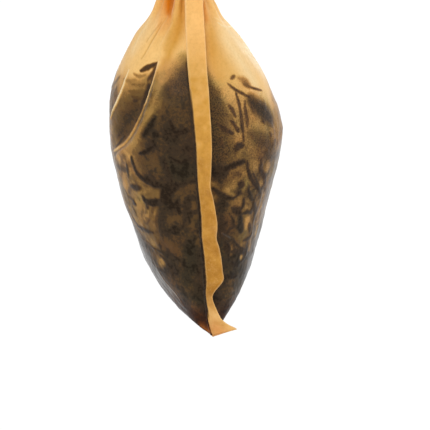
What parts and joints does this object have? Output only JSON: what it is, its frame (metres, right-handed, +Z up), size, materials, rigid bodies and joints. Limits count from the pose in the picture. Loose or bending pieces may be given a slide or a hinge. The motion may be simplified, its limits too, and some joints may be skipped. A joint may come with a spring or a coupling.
{
  "type": "drawstring tea filter bag",
  "caption": "Wet paper tea filter bag hanging full of leaves, its pleated neck drawn shut by a string that runs in the hem and ends in a knot.",
  "frame": {"origin": "middle of the string's knot, where the bag is held", "axes": "+Z up; +Y along the bottom fold, away from someone who faces the side seal in the picture; +X to their right, through the bag's thickness"},
  "size_m": [0.0443, 0.071, 0.1083],
  "materials": {
    "wet_filter_paper": "wet, translucent, tea-stained",
    "wet_tea": "wet leaves",
    "cotton": "twisted thread"
  },
  "bodies": {
    "root": {"filter_paper": "wet_filter_paper", "tea_leaves": "wet_tea", "drawstring": "cotton"}
  },
  "joints": []
}
